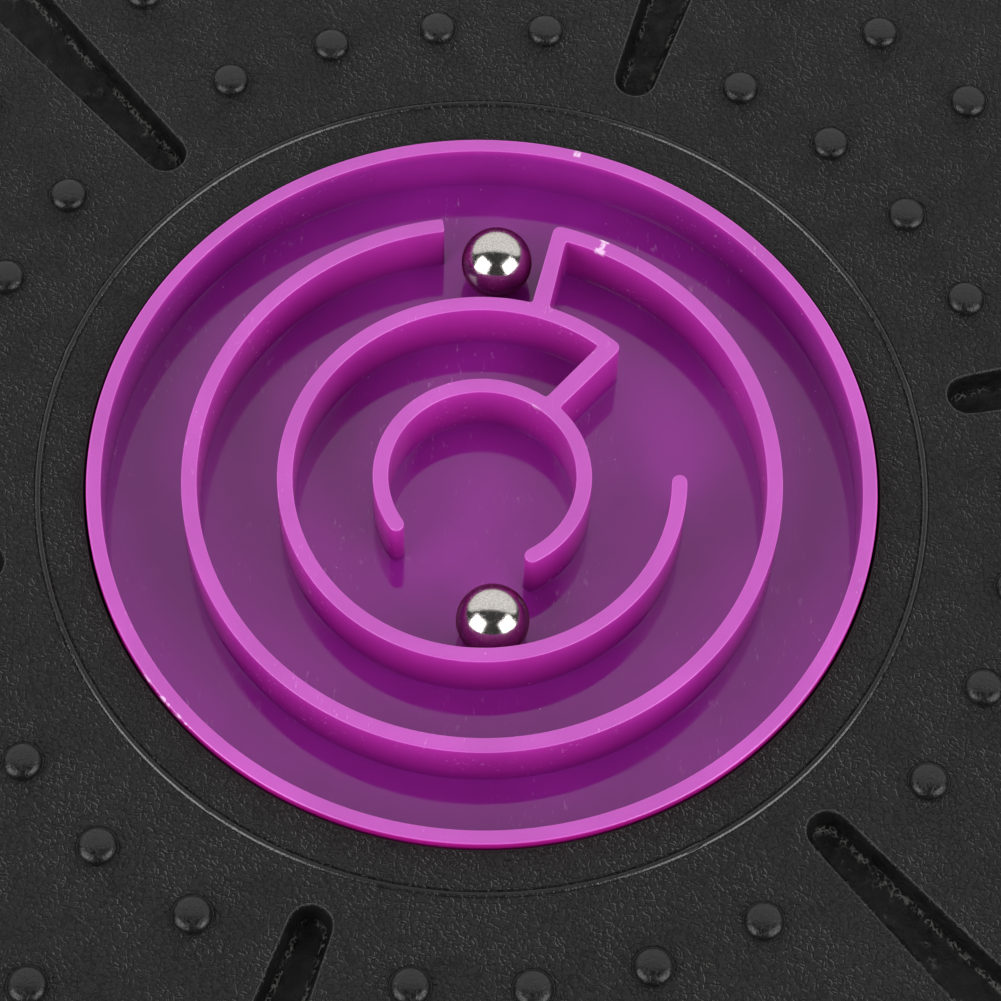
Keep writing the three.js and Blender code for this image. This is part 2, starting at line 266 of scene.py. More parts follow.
class Shader:
    """A Principled material whose nodes read the object's own coordinates."""

    def __init__(self, name, **values):
        self.material = bpy.data.materials.new(name)
        self.material.use_nodes = True
        self.tree = self.material.node_tree
        self.main = self.tree.nodes["Principled BSDF"]
        for key, value in values.items():
            self.main.inputs[key.replace("_", " ")].default_value = value
        self.place = self.tree.nodes.new("ShaderNodeTexCoord").outputs["Object"]

    def node(self, kind, **values):
        made = self.tree.nodes.new("ShaderNode" + kind)
        for key, value in values.items():
            setattr(made, key, value)
        return made

    def link(self, source, target):
        self.tree.links.new(source, target)

    def put(self, socket, value):
        """Links an output, or sets a number or colour."""
        if isinstance(value, bpy.types.NodeSocket):
            self.link(value, socket)
        else:
            socket.default_value = value

    def noise(self, scale, detail=4, rough=0.5, stretch=None, distortion=0):
        made = self.node("TexNoise")
        made.inputs["Scale"].default_value = scale
        made.inputs["Detail"].default_value = detail
        made.inputs["Roughness"].default_value = rough
        made.inputs["Distortion"].default_value = distortion
        place = self.place
        if stretch:
            mapping = self.node("Mapping")
            mapping.inputs["Scale"].default_value = stretch
            self.link(self.place, mapping.inputs["Vector"])
            place = mapping.outputs["Vector"]
        self.link(place, made.inputs["Vector"])
        return made.outputs["Fac"]

    def cells(self, scale, feature="DISTANCE_TO_EDGE", warp=0):
        made = self.node("TexVoronoi", feature=feature)
        made.inputs["Scale"].default_value = scale
        place = self.place
        if warp:
            bend = self.node("TexNoise")
            bend.inputs["Scale"].default_value = scale * 0.9
            self.link(self.place, bend.inputs["Vector"])
            shift = self.node("VectorMath", operation="MULTIPLY_ADD")
            self.link(bend.outputs["Color"], shift.inputs[0])
            shift.inputs[1].default_value = (warp, warp, warp)
            self.link(self.place, shift.inputs[2])
            place = shift.outputs["Vector"]
        self.link(place, made.inputs["Vector"])
        return made.outputs["Distance"]

    def ramp(self, source, *stops):
        """Maps a value through (position, value or colour) stops."""
        made = self.node("ValToRGB")
        elements = made.color_ramp.elements
        while len(elements) < len(stops):
            elements.new(0.5)
        for element, (position, value) in zip(elements, stops):
            element.position = position
            element.color = (value, value, value, 1) if isinstance(value, (int, float)) else (*value, 1)
        self.link(source, made.inputs["Fac"])
        return made.outputs["Color"]

    def math(self, operation, a, b=0.0):
        made = self.node("Math", operation=operation)
        self.put(made.inputs[0], a)
        self.put(made.inputs[1], b)
        return made.outputs["Value"]

    def span(self, source, low, high, to_low=0.0, to_high=1.0, smooth=True):
        """Maps low to high onto to_low to to_high, and holds the ends."""
        made = self.node("MapRange", interpolation_type="SMOOTHSTEP" if smooth else "LINEAR")
        self.put(made.inputs["Value"], source)
        for key, value in (("From Min", low), ("From Max", high), ("To Min", to_low), ("To Max", to_high)):
            made.inputs[key].default_value = value
        return made.outputs["Result"]

    def mix(self, share, a, b, blend="MIX"):
        made = self.node("Mix", data_type="RGBA", blend_type=blend)
        self.put(made.inputs["Factor"], share)
        self.put(made.inputs[6], (*a, 1) if isinstance(a, tuple) else a)
        self.put(made.inputs[7], (*b, 1) if isinstance(b, tuple) else b)
        return made.outputs[2]

    def height(self):
        made = self.node("SeparateXYZ")
        self.link(self.place, made.inputs["Vector"])
        return made.outputs["Z"]

    def streak(self, r, azimuth, half_radial, half_tangent):
        """1 on a short mark on a wall's top, at a polar place, falling to 0 beyond its half sizes."""
        made = self.node("VectorMath", operation="SUBTRACT")
        self.link(self.place, made.inputs[0])
        made.inputs[1].default_value = (*polar(r, azimuth), RIM_TOP)
        share = None
        for angle, half in ((azimuth, half_radial), (azimuth + 90, half_tangent)):
            along = self.node("VectorMath", operation="DOT_PRODUCT")
            self.link(made.outputs["Vector"], along.inputs[0])
            along.inputs[1].default_value = (*polar(1, angle), 0)
            part = self.span(self.math("ABSOLUTE", along.outputs["Value"]), 0.6 * half, 1.3 * half, 1, 0)
            share = part if share is None else self.math("MULTIPLY", share, part)
        top = self.span(self.height(), RIM_TOP - 1.2 * MM, RIM_TOP - 0.3 * MM)
        return self.math("MULTIPLY", share, top)

    def bump(self, height, distance, strength=1.0, after=None):
        made = self.node("Bump")
        made.inputs["Distance"].default_value = distance
        made.inputs["Strength"].default_value = strength
        self.link(height, made.inputs["Height"])
        if after is not None:
            self.link(after, made.inputs["Normal"])
        return made.outputs["Normal"]

    def finish(self, colour, roughness, normal):
        for key, value in (("Base Color", colour), ("Roughness", roughness), ("Normal", normal)):
            self.link(value, self.main.inputs[key])
        return self.material


# ---------- materials ----------

WALL_MARKS = (  # whitened marks: radius in mm, azimuth, half sizes in mm, strength
    (48.15, 66.5, 1.3, 0.42, 1.0),
    (49.35, 66.5, 0.45, 0.8, 1.0),
    (46.95, 66.5, 0.6, 0.9, 1.0),
    (64.2, 76.8, 0.6, 0.6, 1.0),
    (15.55, 56.7, 0.12, 0.8, 0.4),
)
RIM_FLASH = (65.0, 221, 0.42, 8)  # a ragged stretch of the rim's outer edge, in the same terms
MARK_COLOUR = (0.90, 0.62, 0.88)
SCUFF_COLOUR = (0.75, 0.35, 0.72)
RIM_INNER_PAINTED_SHADE = (0.22, 0.014, 0.25)  # painted shade on the inner face of the rim, standing in for the dark deck behind it letting less light through
# painted light on the rim's outer side, standing in for light passing through the plastic
RIM_SIDE_PAINTED_LIGHT = (0.48, 0.010, 0.28)


def purple_plastic():
    """Glossy, slightly see-through polypropylene. Its colour is painted by height: painted shade deep over
    the floor and the walls' feet, lighter up the walls, and a painted highlight along the walls' top edges,
    standing in for light through the plastic and for shade near the floor.
    """
    s = Shader("purple_plastic", Roughness=0.1, IOR=1.49)
    up = s.span(s.height(), TRAY_FLOOR, RIM_TOP, smooth=False)
    # painted light and shade by height: dark over the floor and the walls' feet, lighter up the walls, and
    # a painted highlight band (0.978 to 0.997) along the top edges
    body = s.ramp(
        up,
        (0.0, (0.268, 0.014, 0.275)),
        (0.04, (0.26, 0.010, 0.24)),
        (0.3, (0.38, 0.016, 0.30)),
        (0.94, (0.47, 0.030, 0.38)),
        (0.978, (0.47, 0.035, 0.40)),
        (0.986, (0.65, 0.14, 0.61)),
        (0.997, (0.605, 0.12, 0.56)),
        (1.0, (0.48, 0.078, 0.45)),
    )
    flat = s.node("VectorMath", operation="MULTIPLY")
    s.link(s.place, flat.inputs[0])
    flat.inputs[1].default_value = (1, 1, 0)
    reach = s.node("VectorMath", operation="LENGTH")
    s.link(flat.outputs["Vector"], reach.inputs[0])
    # painted shade on the rim's inner face, fading out towards its top
    rim_inner_shade = s.span(reach.outputs["Value"], RIM_R - RIM_T - 0.5 * MM, RIM_R - RIM_T + 0.3 * MM)
    rim_inner_shade = s.math("MULTIPLY", rim_inner_shade, s.span(up, 0.99, 0.80))
    body = s.mix(s.math("MULTIPLY", rim_inner_shade, 0.85), body, RIM_INNER_PAINTED_SHADE)
    # painted light on the rim's outer side, below its top edge
    side = s.span(reach.outputs["Value"], RIM_R - 0.16 * MM, RIM_R - 0.05 * MM)
    body = s.mix(s.math("MULTIPLY", side, s.span(up, 1.0, 0.97)), body, RIM_SIDE_PAINTED_LIGHT)
    cloud = s.span(s.noise(60, 3), 0.3, 0.7, 0.93, 1.06)
    body = s.mix(1.0, body, cloud, "MULTIPLY")
    scuffs = s.noise(1100, 6, 0.7, stretch=(1, 0.3, 1))
    scuffs = s.ramp(scuffs, (0.0, 0.0), (0.6, 0.0), (0.68, 1.0))
    patches = s.ramp(s.noise(55, 2), (0.5, 0.0), (0.62, 1.0))
    wear = s.math("MULTIPLY", s.math("MULTIPLY", scuffs, patches), 0.32)
    dust = s.ramp(s.cells(150, "F1"), (0.0, 1.0), (0.014, 1.0), (0.026, 0.0))
    wear = s.math("MAXIMUM", wear, s.math("MULTIPLY", dust, 0.5))
    body = s.mix(wear, body, SCUFF_COLOUR)
    marks = 0.0
    for r, azimuth, half_radial, half_tangent, strength in WALL_MARKS:
        mark = s.streak(r * MM, azimuth, half_radial * MM, half_tangent * MM)
        marks = s.math("MAXIMUM", marks, s.math("MULTIPLY", mark, strength))
    marks = s.math("MULTIPLY", marks, s.span(s.noise(1600, 3), 0.3, 0.55, 0.25, 0.9))
    marks = s.math("MULTIPLY", marks, s.span(up, 0.88, 0.95))
    r, azimuth, half_radial, half_tangent = RIM_FLASH
    ragged = s.streak(r * MM, azimuth, half_radial * MM, half_tangent * MM)
    ragged = s.math("MULTIPLY", ragged, s.span(s.noise(800, 4), 0.5, 0.6, 0, 0.75))
    marks = s.math("MAXIMUM", marks, ragged)
    body = s.mix(marks, body, MARK_COLOUR)
    rough = s.span(s.noise(130, 5), 0.3, 0.75, 0.05, 0.12)
    rough = s.math("MAXIMUM", rough, s.span(up, 0.02, 0.2, 0.0, 0.2))
    rough = s.math("ADD", rough, s.math("MULTIPLY", wear, 0.5))
    ripples = s.bump(s.noise(60, 1), 0.015 * MM, 0.6)
    grain = s.bump(s.noise(1500, 3), 0.003 * MM, 0.5, after=ripples)
    s.main.inputs["Specular Tint"].default_value = (1.0, 0.82, 1.0, 1)
    s.main.inputs["Subsurface Weight"].default_value = 0.15
    s.main.inputs["Subsurface Radius"].default_value = (1.0, 0.25, 0.9)
    s.main.inputs["Subsurface Scale"].default_value = 0.003
    return s.finish(body, rough, grain)


GRAIN_SCALE = 980
GRAIN_SEED = 3.1
# painted light in the crackle: the highlight colour of its lit stroke edges, then the shade colour of its
# creases
GRAIN_PAINTED_HIGHLIGHT = (0.14, 0.138, 0.134)
GRAIN_PAINTED_SHADE = (0.001, 0.001, 0.001)


def strokes(s, scale, seed, share, width):
    """Short curved strokes: pieces of the borders between small cells."""
    shifted = s.node("Mapping")
    shifted.inputs["Location"].default_value = (seed, seed * 0.7, 0)
    s.link(s.place, shifted.inputs["Vector"])
    keep = s.place
    s.place = shifted.outputs["Vector"]
    line = s.cells(scale, warp=1.1 / scale)
    line = s.ramp(line, (0.0, 1.0), (width * 0.6, 1.0), (width * 1.6, 0.0))
    part = s.span(s.noise(scale * 1.15, 2), share, share + 0.05)
    s.place = keep
    return s.math("MULTIPLY", line, part)


def black_plastic(name, grain=1.0, roughness=0.38, shade=0.0065, specular=0.26):
    """Black polypropylene with a fine leather-like crackle. Its creases carry painted shade, and painted
    highlight strokes beside them stand in for the small edges catching the light.
    """
    s = Shader(name, IOR=1.49)
    s.main.inputs["Specular IOR Level"].default_value = specular
    tint = s.span(s.noise(25, 4), 0.3, 0.7, 0.85, 1.15)
    body = s.mix(1.0, (shade, shade * 0.97, shade * 0.97), tint, "MULTIPLY")
    # painted shade: dark strokes in the crackle's creases
    dark = strokes(s, GRAIN_SCALE, GRAIN_SEED, 0.42, 0.09)
    glints = s.span(s.noise(150, 3), 0.38, 0.6, 0.2, 1.0)
    # painted highlight: pale strokes beside the dark ones, shifted 0.15 mm along x and 0.105 mm along y,
    # stand in for the crease edges catching the light
    bright = s.math("MULTIPLY", strokes(s, GRAIN_SCALE, GRAIN_SEED + 0.15 * MM, 0.46, 0.08), glints)
    bright = s.math("MULTIPLY", bright, s.math("SUBTRACT", 1.0, dark))
    body = s.mix(s.math("MULTIPLY", dark, 0.85 * grain), body, GRAIN_PAINTED_SHADE)
    body = s.mix(s.math("MULTIPLY", bright, 0.9 * grain), body, GRAIN_PAINTED_HIGHLIGHT)
    fine = s.noise(2400, 5, 0.65)
    coarse = s.noise(800, 4, 0.6, distortion=0.8)
    relief = s.math("ADD", s.math("MULTIPLY", fine, 0.4), s.math("MULTIPLY", coarse, 0.7))
    relief = s.math("SUBTRACT", relief, s.math("MULTIPLY", dark, 0.8))
    relief = s.math("ADD", relief, s.math("MULTIPLY", bright, 0.5))
    normal = s.bump(relief, 0.5 * MM * grain)
    rough = s.span(s.noise(1500, 4), 0.3, 0.7, roughness - 0.06, roughness + 0.1)
    return s.finish(body, rough, normal)


def torn_plastic():
    """The insides of the grooves: dull black plastic, with torn fibres where the bottom meets the sides."""
    s = Shader("torn_black_plastic", IOR=1.49)
    s.main.inputs["Specular IOR Level"].default_value = 0.2
    tint = s.span(s.noise(120, 4), 0.3, 0.7, 0.5, 1.3)
    body = s.mix(1.0, (0.006, 0.006, 0.006), tint, "MULTIPLY")
    up = s.height()
    foot = DECK_TOP - SLOT_DEPTH
    above = s.span(up, foot + 0.15 * MM, foot + 0.4 * MM)
    band = s.math("MULTIPLY", above, s.span(up, foot + 1.5 * MM, foot + 0.7 * MM))
    fibres = strokes(s, 1000, 5.7, 0.42, 0.1)
    some = s.span(s.noise(260, 3), 0.36, 0.5)
    fibres = s.math("MULTIPLY", s.math("MULTIPLY", fibres, band), some)
    body = s.mix(fibres, body, (0.11, 0.11, 0.105))
    drag = s.noise(260, 5, 0.7, distortion=1.5)
    lumps = s.noise(900, 6, 0.7, distortion=0.8)
    relief = s.math("ADD", drag, s.math("MULTIPLY", lumps, 0.5))
    rough = s.span(s.noise(600, 3), 0.3, 0.7, 0.35, 0.6)
    return s.finish(body, rough, s.bump(relief, 0.5 * MM, 0.8))


def bearing_steel():
    """A used steel ball: polished, with fine speckle and dull marks. It mirrors the tray's purple, and its
    edges also carry a painted purple tint, a painted reflection of that purple.
    """
    s = Shader("bearing_steel", Metallic=1.0)
    body = s.mix(s.noise(300, 3), (0.56, 0.53, 0.50), (0.49, 0.465, 0.44))
    marks = s.ramp(s.noise(1800, 6, 0.75, stretch=(1, 0.2, 1)), (0.0, 0.0), (0.55, 0.0), (0.7, 1.0))
    body = s.mix(s.math("MULTIPLY", marks, 0.35), body, (0.36, 0.34, 0.32))
    rough = s.math("ADD", s.span(s.noise(700, 5), 0.35, 0.7, 0.08, 0.13), s.math("MULTIPLY", marks, 0.12))
    swirl = s.bump(s.noise(1200, 4), 0.004 * MM, 0.5)
    rough = s.math("ADD", rough, s.span(s.noise(4200, 3, 0.6), 0.46, 0.66, 0.0, 0.15))
    speckle = s.noise(3600, 4, 0.7)
    body = s.mix(1.0, body, s.span(speckle, 0.38, 0.62, 0.84, 1.1), "MULTIPLY")
    normal = s.bump(speckle, 0.013 * MM, 1.0, after=swirl)
    # painted reflection: a purple edge tint in the steel itself, set to match the tray's purple
    s.main.inputs["Specular Tint"].default_value = (0.52, 0.20, 0.30, 1)
    return s.finish(body, rough, normal)


def zinc_steel():
    """Zinc-plated screws."""
    s = Shader("zinc_steel", Metallic=1.0)
    body = s.mix(s.noise(500, 3), (0.62, 0.64, 0.66), (0.50, 0.51, 0.50))
    rough = s.span(s.noise(900, 4), 0.3, 0.7, 0.22, 0.4)
    return s.finish(body, rough, s.bump(s.noise(3000, 3), 0.01 * MM, 0.4))


def pad_rubber():
    """The dull black rubber of the grip pad."""
    s = Shader("pad_rubber", IOR=1.5)
    body = s.mix(s.noise(150, 4), (0.010, 0.010, 0.011), (0.022, 0.022, 0.022))
    rough = s.span(s.noise(400, 4), 0.3, 0.7, 0.65, 0.85)
    return s.finish(body, rough, s.bump(s.noise(2500, 4), 0.06 * MM, 0.6))


PURPLE = purple_plastic()
BLACK = black_plastic("black_plastic")
NUB_BLACK = black_plastic("black_plastic_nubs", grain=0.06, roughness=0.27, shade=0.006, specular=0.42)
UNDER_BLACK = black_plastic("black_plastic_smooth", grain=0.06, roughness=0.42, shade=0.011)
FLASH = black_plastic("black_plastic_flash", grain=0.04, roughness=0.2, shade=0.008, specular=0.75)
BAND = black_plastic("black_plastic_band", grain=0.12, roughness=0.4, shade=0.0095, specular=0.27)
# the grooves' lip: glossy, and painted a lighter shade than the deck as a painted highlight along its edge
LIP_PAINTED_HIGHLIGHT = black_plastic("black_plastic_lip_painted_highlight", grain=0.25, roughness=0.28, shade=0.018, specular=0.55)
TORN = torn_plastic()
STEEL = bearing_steel()
ZINC = zinc_steel()
RUBBER = pad_rubber()

# ---------- mesh building ----------

TAU = 2 * math.pi


def circle(r, count):
    """Counter-clockwise points on a circle about the Z axis."""
    a = np.arange(count) * TAU / count
    return np.column_stack([r * np.cos(a), r * np.sin(a)])


def outward(points):
    """Unit normals of a closed counter-clockwise outline, pointing out."""
    d = np.roll(points, -1, 0) - np.roll(points, 1, 0)
    d /= np.linalg.norm(d, axis=1)[:, None]
    return np.column_stack([d[:, 1], -d[:, 0]])


def inside(points, loops):
    """True where a point lies inside an odd number of the closed loops."""
    hit = np.zeros(len(points), bool)
    a = np.concatenate(loops)
    b = np.concatenate([np.roll(loop, -1, 0) for loop in loops])
    for start in range(0, len(points), 512):
        x = points[start : start + 512, 0][:, None]
        y = points[start : start + 512, 1][:, None]
        crosses = (a[:, 1] > y) != (b[:, 1] > y)
        with np.errstate(divide="ignore", invalid="ignore"):
            at = a[:, 0] + (y - a[:, 1]) * (b[:, 0] - a[:, 0]) / (b[:, 1] - a[:, 1])
        hit[start : start + 512] = (crosses & (x < at)).sum(1) % 2 == 1
    return hit


class Body:
    """Collects points and faces for one mesh."""

    def __init__(self):
        self.points = []
        self.faces = []
        self.slots = []
        self.materials = []

    def slot(self, material):
        if material not in self.materials:
            self.materials.append(material)
        return self.materials.index(material)

    def loop(self, points, z):
        """Adds a loop of points at a height, or a height for each point, and returns their numbers."""
        z = np.broadcast_to(z, len(points))
        start = len(self.points)
        self.points.extend((float(p[0]), float(p[1]), float(h)) for p, h in zip(points, z))
        return list(range(start, start + len(points)))

    def face(self, corners, material):
        self.faces.append(corners)
        self.slots.append(self.slot(material))

    def bridge(self, low, high, material):
        """Joins two loops of the same count.

        Faces look out if low is under high and both run counter-clockwise.
        """
        count = len(low)
        for i in range(count):
            j = (i + 1) % count
            self.face((low[i], low[j], high[j], high[i]), material)

    def stack(self, rings, material):
        """Joins a list of loops, each to the next."""
        for a, b in zip(rings, rings[1:]):
            self.bridge(a, b, material)

    def drop(self, rings, material):
        """Joins a list of loops the other way round: down an outer face, or up a bore."""
        for high, low in zip(rings, rings[1:]):
            self.bridge(low, high, material)

    def fill(self, loops, material, up=True, spacing=None, height=None):
        """Fills the region between loops already added.

        With spacing it adds a grid of points, at the heights that the height function gives them.
        """
        flat = [np.array([self.points[i][:2] for i in loop]) for loop in loops]
        numbers = [i for loop in loops for i in loop]
        points = np.concatenate(flat)
        edges = []
        start = 0
        for loop in flat:
            count = len(loop)
            edges += [(start + i, start + (i + 1) % count) for i in range(count)]
            start += count
        if spacing:
            low, high = points.min(0), points.max(0)
            rows = np.arange(low[1], high[1], spacing * 0.866)
            grid = np.array(
                [
                    (x + (k % 2) * spacing / 2, y)
                    for k, y in enumerate(rows)
                    for x in np.arange(low[0], high[0], spacing)
                ]
            )
            grid = grid[inside(grid, flat)]
            keep = np.ones(len(grid), bool)
            for begin in range(0, len(grid), 256):
                part = grid[begin : begin + 256]
                gap = np.min(np.linalg.norm(part[:, None] - points[None], axis=2), axis=1)
                keep[begin : begin + 256] = gap > 0.55 * spacing
            grid = grid[keep]
            numbers += self.loop(grid, height(grid))
            points = np.concatenate([points, grid])
        scale = 1000.0  # the triangulation works best near unit size
        made = delaunay_2d_cdt([Vector(p * scale) for p in points], edges, [], 0, 1e-7, True)
        corners = np.array([tuple(v) for v in made[0]]) / scale
        origin = [ids[0] for ids in made[3]]
        triangles = np.array(made[2])
        sides = corners[triangles] - np.roll(corners[triangles], 1, 1)
        area = np.abs(sides[:, 0, 0] * sides[:, 1, 1] - sides[:, 0, 1] * sides[:, 1, 0])
        keep = inside(corners[triangles].mean(1), flat)
        keep &= area > 1e-4 * (sides**2).sum(2).max(1)
        for a, b, c in triangles[keep]:
            tri = [numbers[origin[a]], numbers[origin[b]], numbers[origin[c]]]
            turn = np.cross(corners[b] - corners[a], corners[c] - corners[a])
            if (turn > 0) != up:
                tri.reverse()
            self.face(tuple(tri), material)

    def fan(self, loop, top, material):
        """Closes a loop to one point above it."""
        centre = len(self.points)
        middle = np.mean([self.points[i] for i in loop], axis=0)
        self.points.append((float(middle[0]), float(middle[1]), top))
        for i, a in enumerate(loop):
            self.face((a, loop[(i + 1) % len(loop)], centre), material)

    def object(self, name, sharp=35):
        mesh = bpy.data.meshes.new(name)
        mesh.from_pydata(self.points, [], self.faces)
        for material in self.materials:
            mesh.materials.append(material)
        mesh.polygons.foreach_set("material_index", self.slots)
        mesh.validate()
        mesh.shade_smooth()
        mesh.set_sharp_from_angle(angle=math.radians(sharp))
        made = bpy.data.objects.new(name, mesh)
        bpy.context.scene.collection.objects.link(made)
        return made


def lathe(body, profile, count, material, centre=(0, 0)):
    """Turns (radius, height) points round a vertical line, on which they start and end. Faces look out."""
    shift = np.array(centre)
    rings = [body.loop(circle(r, count) + shift, z) for r, z in profile[1:-1]]
    body.stack(rings, material)
    body.fan(rings[0][::-1], profile[0][1], material)
    body.fan(rings[-1], profile[-1][1], material)


def arc_profile(centre, radius, a0, a1, steps):
    """Points of a rounded corner in (radius, height)."""
    return [
        (centre[0] + radius * math.cos(math.radians(a)), centre[1] + radius * math.sin(math.radians(a)))
        for a in np.linspace(a0, a1, steps + 1)
    ]


def bar(body, a, b, half, z0, z1, material):
    """A straight closed bar between two points in plan."""
    along = (b - a).normalized()
    side = Vector((-along.y, along.x)) * half
    corners = [a - side, b - side, b + side, a + side]
    low = body.loop(corners, z0)
    high = body.loop(corners, z1)
    body.bridge(low, high, material)
    body.face(tuple(high), material)
    body.face(tuple(reversed(low)), material)


def tube(body, centre, outer, inner, z0, z1, depth, material):
    """An upright boss with a blind hole in its lower end."""
    count = 32
    shift = np.array(centre)
    hole_top = body.loop(circle(inner, count) + shift, z0 + depth)
    hole = body.loop(circle(inner, count) + shift, z0)
    low = body.loop(circle(outer, count) + shift, z0)
    high = body.loop(circle(outer, count) + shift, z1)
    body.stack([hole_top, hole, low, high], material)
    body.fan(hole_top[::-1], z0 + depth, material)
    body.fan(high, z1, material)


# ---------- maze tray ----------


def tray_floor_height(points):
    """The moulded floor isn't quite flat: slow ripples a few hundredths of a millimetre deep."""
    return np.array(
        [
            TRAY_FLOOR + 0.018 * MM * noise.noise(Vector((x * 50, y * 50, 3.1)))
            - 0.03 * MM * math.exp(-((math.hypot(x, y) / (11 * MM)) ** 2))
            for x, y in points
        ]
    )


def arc_points(centre, r, a0, a1):
    """Points about 0.4 mm apart along an arc, from angle a0 to a1, without its last point."""
    steps = max(6, int(abs(math.radians(a1 - a0)) * r / (0.4 * MM)))
    return [Vector(centre) + polar(r, a0 + (a1 - a0) * i / steps) for i in range(steps)]


def soften(points, reach, rounds, hollow_rounds=0):
    """Rounds the corners of a closed outline by repeated averaging, the hollow corners by more of it."""
    step = np.linalg.norm(np.roll(points, -1, 0) - points, axis=1)
    length = np.concatenate([[0], np.cumsum(step)])
    count = int(length[-1] / reach)
    closed = np.vstack([points, points[:1]])
    at = np.arange(count) * length[-1] / count
    even = np.column_stack([np.interp(at, length, closed[:, k]) for k in (0, 1)])
    before, after = even - np.roll(even, 1, 0), np.roll(even, -1, 0) - even
    turn = before[:, 0] * after[:, 1] - before[:, 1] * after[:, 0]
    hollow = (turn < -0.3 * reach**2).astype(float)
    for _ in range(30):
        hollow = np.maximum(hollow, (np.roll(hollow, 1) + np.roll(hollow, -1)) * 0.48)
    for k in range(rounds + hollow_rounds):
        mean = (np.roll(even, 1, 0) + 2 * even + np.roll(even, -1, 0)) / 4
        even += (mean - even) * (1 if k < rounds else hollow[:, None])
    return even


def lean(r):
    """The angle that half a wall's thickness takes up at a radius."""
    return math.degrees(math.asin(WALL_T / 2 / r))


def heading(a, b):
    """The direction from b to a, in degrees."""
    return math.degrees(math.atan2(*(a - b).yx))


def wall_outline():
    """The plan of the three ring walls and two spokes, which are one connected wall, counter-clockwise."""
    half = WALL_T / 2
    outer, middle, inner = WALL_R
    origin = (0, 0)
    outer_from, outer_to = OUTER_WALL_ENDS
    spoke_1 = (polar(outer, SPOKE_1[0]), polar(middle, SPOKE_1[1]))
    spoke_2 = (polar(middle, SPOKE_2[0]), polar(inner, SPOKE_2[1]))
    way_1, way_2 = heading(*spoke_1), heading(*spoke_2)
    middle_tip = MIDDLE_WALL_END - lean(middle)
    inner_tip0 = INNER_WALL_ENDS[0] + lean(inner)
    inner_tip1 = INNER_WALL_ENDS[1] - lean(inner)
    arcs = [
        (origin, outer + half, outer_from, outer_to),
        (spoke_1[0], half, SPOKE_1[0], way_1 + 90),
        (origin, middle + half, SPOKE_1[1] + lean(middle + half), middle_tip),
        (polar(middle, middle_tip), half, middle_tip, middle_tip + 180),
        (origin, middle - half, middle_tip, SPOKE_2[0] + 1.15 * lean(middle - half)),
        (origin, inner + half, SPOKE_2[1] + lean(inner + half), inner_tip1),
        (polar(inner, inner_tip1), half, inner_tip1, inner_tip1 + 180),
        (origin, inner - half, inner_tip1, inner_tip0),
        (polar(inner, inner_tip0), half, inner_tip0 - 180, inner_tip0),
        (origin, inner + half, inner_tip0, SPOKE_2[1] - lean(inner + half)),
        (spoke_2[0], half, way_2 - 90, SPOKE_2[0]),
        (origin, middle + half, SPOKE_2[0], SPOKE_1[1] - lean(middle + half)),
        (origin, outer - half, outer_to - 1.05 * lean(outer - half), outer_from),
    ]
    points = [point for arc in arcs for point in arc_points(*arc)]
    points.append(polar(outer - half, outer_from))
    return soften(np.array([tuple(p) for p in points]), 0.3 * MM, 2, 1)


def wall_profile():
    """(offset outwards, height above the tray floor) from the foot of a wall to its top."""
    rings = [(WALL_DRAFT + 0.03 * MM, 0.0), (WALL_DRAFT, 0.15 * MM)]
    rings += [(WALL_DRAFT * (1 - t), t * WALL_H) for t in (0.25, 0.5, 0.75)]
    edge = WALL_ROUND
    rings += [
        (-edge + edge * math.cos(math.radians(a)), WALL_H - edge + edge * math.sin(math.radians(a)))
        for a in (0, 22.5, 45, 67.5, 90)
    ]
    return rings


def wall_loops(body, plan_at):
    """The loops of a wall's face, whose foot follows the floor. plan_at gives the plan at an offset."""
    loops = []
    for k, (offset, up) in enumerate(wall_profile()):
        plan = plan_at(offset)
        loops.append(body.loop(plan, TRAY_FLOOR + up if k else tray_floor_height(plan)))
    return loops


def make_tray():
    """The tray: one connected wall inside a rim, on a thin floor with four screw bosses under it."""
    body = Body()
    outline = wall_outline()
    normal = outward(outline)
    rings = wall_loops(body, lambda offset: outline + normal * offset)
    body.stack(rings, PURPLE)
    body.fill([rings[-1]], PURPLE)
    inner = wall_loops(body, lambda offset: circle(RIM_R - RIM_T - offset, RING_POINTS))
    body.drop(inner, PURPLE)
    outside = arc_profile((RIM_R - RIM_ROUND, RIM_TOP - RIM_ROUND), RIM_ROUND, 90, 0, 5)
    outside += [(RIM_R, TRAY_BOTTOM + 0.4 * MM), (RIM_R - 0.4 * MM, TRAY_BOTTOM)]
    outer = [body.loop(circle(r, RING_POINTS), z) for r, z in outside]
    body.bridge(outer[0], inner[-1], PURPLE)
    body.drop(outer, PURPLE)
    body.fan(outer[-1][::-1], TRAY_BOTTOM, PURPLE)
    body.fill([inner[0], rings[0]], PURPLE, spacing=1.3 * MM, height=tray_floor_height)
    for k in range(4):
        centre = polar(TRAY_SCREW_R, TRAY_SCREW_A + 90 * k)
        ends = (tray_low.z, TRAY_BOTTOM + RUN_IN)
        tube(body, centre, TRAY_BOSS_R, TRAY_HOLE_R, *ends, TRAY_HOLE_DEPTH, PURPLE)
    tray = body.object("tray_moulding")
    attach(tray, "board")
    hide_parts("maze_tray")


# ---------- deck ----------


